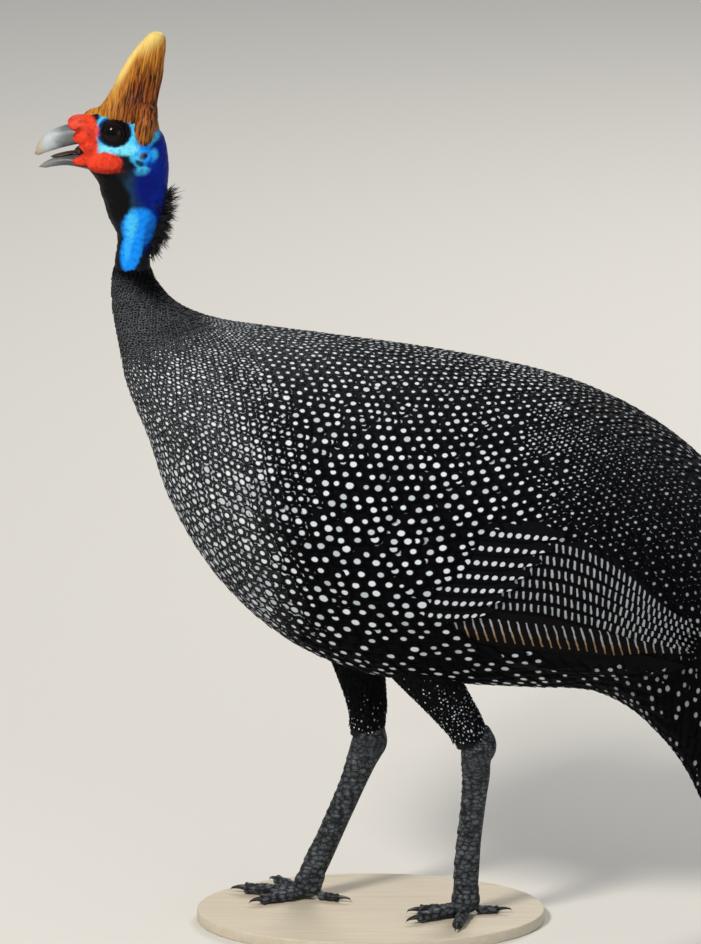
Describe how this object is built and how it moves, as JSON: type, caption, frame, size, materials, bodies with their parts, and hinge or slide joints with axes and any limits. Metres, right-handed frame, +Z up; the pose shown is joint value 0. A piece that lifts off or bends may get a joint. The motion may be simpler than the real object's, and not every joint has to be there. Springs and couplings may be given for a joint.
{
  "type": "guinea fowl",
  "caption": "Life-size helmeted guineafowl walking on a plain base, bill a little open: horn casque, bare blue neck, red cere and wattles, spotted body, folded wings, drooping tail.",
  "frame": {"origin": "middle of the whole box, on the floor under the base", "axes": "-X the way the bill points, -Y the bird's left side, +Z up"},
  "size_m": [0.3822, 0.1536, 0.4589],
  "materials": {
    "plumage": "matt feathers, black with white spots",
    "blue_skin": "matt bare skin, blue with a black throat",
    "red_skin": "slightly glossy bare skin",
    "casque_horn": "horn, ochre to brown",
    "bill_horn": "polished horn, blue grey",
    "eye": "wet, near black",
    "leg_scales": "dark slate scales",
    "claw_horn": "dark horn",
    "base_board": "pale sanded board, plain"
  },
  "bodies": {
    "root": {"bill_lower": "bill_horn", "bill_upper": "bill_horn", "casque": "casque_horn", "cere": "red_skin", "claw_hind_left": "claw_horn", "claw_hind_right": "claw_horn", "claw_inner_left": "claw_horn", "claw_inner_right": "claw_horn", "claw_middle_left": "claw_horn", "claw_middle_right": "claw_horn", "claw_outer_left": "claw_horn", "claw_outer_right": "claw_horn", "eye_left": "eye", "eye_right": "eye", "foot_left": "leg_scales", "foot_right": "leg_scales", "head": "blue_skin", "neck_lower": "plumage", "neck_upper": "blue_skin", "stand_base": "base_board", "tail": "plumage", "tarsus_left": "leg_scales", "tarsus_right": "leg_scales", "thigh_left": "plumage", "thigh_right": "plumage", "torso": "plumage", "wattle_left": "red_skin", "wattle_right": "red_skin", "wing_left": "plumage", "wing_right": "plumage"}
  },
  "joints": []
}
